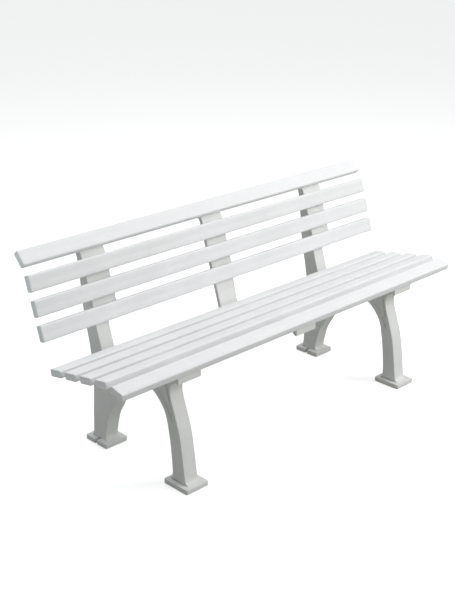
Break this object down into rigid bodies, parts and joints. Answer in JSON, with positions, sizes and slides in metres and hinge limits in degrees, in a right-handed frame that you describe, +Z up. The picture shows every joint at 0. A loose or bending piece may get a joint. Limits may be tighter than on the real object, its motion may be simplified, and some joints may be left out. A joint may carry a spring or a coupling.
{
  "type": "garden bench",
  "caption": "Low slatted plastic garden bench with a curved reclined back, two arched leg frames and a middle bracket under long straight slats.",
  "frame": {"origin": "middle of the bench's outer box, on the ground under the foot plates", "axes": "+X along the bench towards the sitter's left, -Y towards the front of the seat, +Z up"},
  "size_m": [1.5, 0.5282, 0.6769],
  "materials": {
    "slat_plastic": "white, fine lengthwise grain, soft sheen",
    "cap_plastic": "white, smooth satin",
    "frame_plastic": "white, moulded, faintly textured",
    "screw_steel": "zinc plated, satin"
  },
  "bodies": {
    "root": {"left_leg_frame": "frame_plastic", "right_leg_frame": "frame_plastic", "middle_bracket": "frame_plastic", "seat_slat_1": "slat_plastic", "seat_slat_2": "slat_plastic", "seat_slat_3": "slat_plastic", "seat_slat_4": "slat_plastic", "front_slat": "slat_plastic", "back_slat_1": "slat_plastic", "back_slat_2": "slat_plastic", "back_slat_3": "slat_plastic", "top_slat": "slat_plastic", "seat_slat_1_left_cap": "cap_plastic", "seat_slat_2_left_cap": "cap_plastic", "seat_slat_3_left_cap": "cap_plastic", "seat_slat_4_left_cap": "cap_plastic", "front_slat_left_cap": "cap_plastic", "back_slat_1_left_cap": "cap_plastic", "back_slat_2_left_cap": "cap_plastic", "back_slat_3_left_cap": "cap_plastic", "top_slat_left_cap": "cap_plastic", "seat_slat_1_right_cap": "cap_plastic", "seat_slat_2_right_cap": "cap_plastic", "seat_slat_3_right_cap": "cap_plastic", "seat_slat_4_right_cap": "cap_plastic", "front_slat_right_cap": "cap_plastic", "back_slat_1_right_cap": "cap_plastic", "back_slat_2_right_cap": "cap_plastic", "back_slat_3_right_cap": "cap_plastic", "top_slat_right_cap": "cap_plastic", "left_seat_screws": "screw_steel", "left_back_screws": "screw_steel", "middle_seat_screws": "screw_steel", "middle_back_screws": "screw_steel", "right_seat_screws": "screw_steel", "right_back_screws": "screw_steel"}
  },
  "joints": []
}
